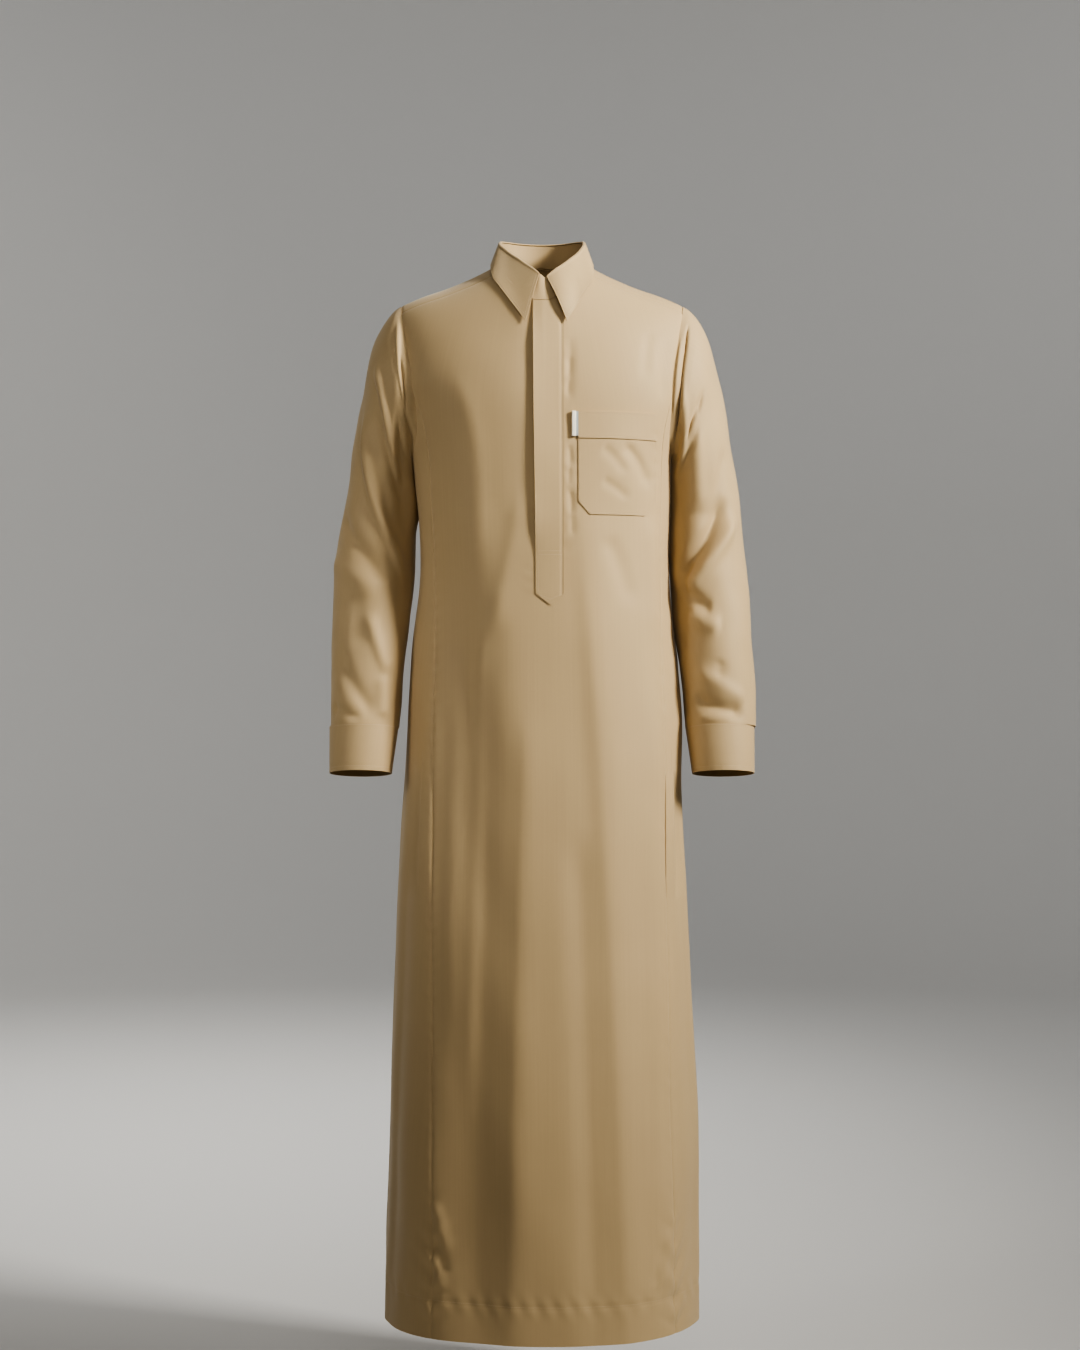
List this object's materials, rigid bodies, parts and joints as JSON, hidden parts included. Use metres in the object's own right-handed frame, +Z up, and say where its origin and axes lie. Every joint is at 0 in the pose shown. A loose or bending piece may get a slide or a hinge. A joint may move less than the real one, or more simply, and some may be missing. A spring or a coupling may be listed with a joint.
{
  "type": "thobe robe",
  "caption": "Ankle-length shirt robe with a folded collar, concealed front placket, chest pocket, side gores with pocket mouths and long cuffed sleeves, in its worn form.",
  "frame": {"origin": "middle of the neck base, level with the neck ends of the shoulders, where the wearer's neck and shoulders hold the robe up", "axes": "+Z up, front towards -Y, the chest pocket on the +X side; left and right in names are -X and +X, as seen from the front"},
  "size_m": [0.5824, 0.3657, 1.4825],
  "materials": {
    "body_cloth": "fine camel twill suiting with a soft sheen",
    "placket_cloth": "fine camel twill suiting with a soft sheen",
    "pocket_cloth": "fine camel twill suiting with a soft sheen",
    "tab_trim": "smooth woven trim, off-white",
    "collar_cloth": "fine camel twill suiting with a soft sheen",
    "sleeve_cloth": "fine camel twill suiting with a soft sheen",
    "cuff_cloth": "fine camel twill suiting with a soft sheen"
  },
  "bodies": {
    "root": {"front_panel": "body_cloth", "back_panel": "body_cloth", "side_panel_left": "body_cloth", "side_panel_right": "body_cloth", "yoke": "body_cloth", "placket": "placket_cloth", "placket_underlap": "placket_cloth", "chest_pocket": "pocket_cloth", "pocket_band": "pocket_cloth", "pocket_tab": "tab_trim", "collar_stand": "collar_cloth", "collar_fall": "collar_cloth", "sleeve_left": "sleeve_cloth", "cuff_left": "cuff_cloth", "sleeve_right": "sleeve_cloth", "cuff_right": "cuff_cloth"}
  },
  "joints": []
}
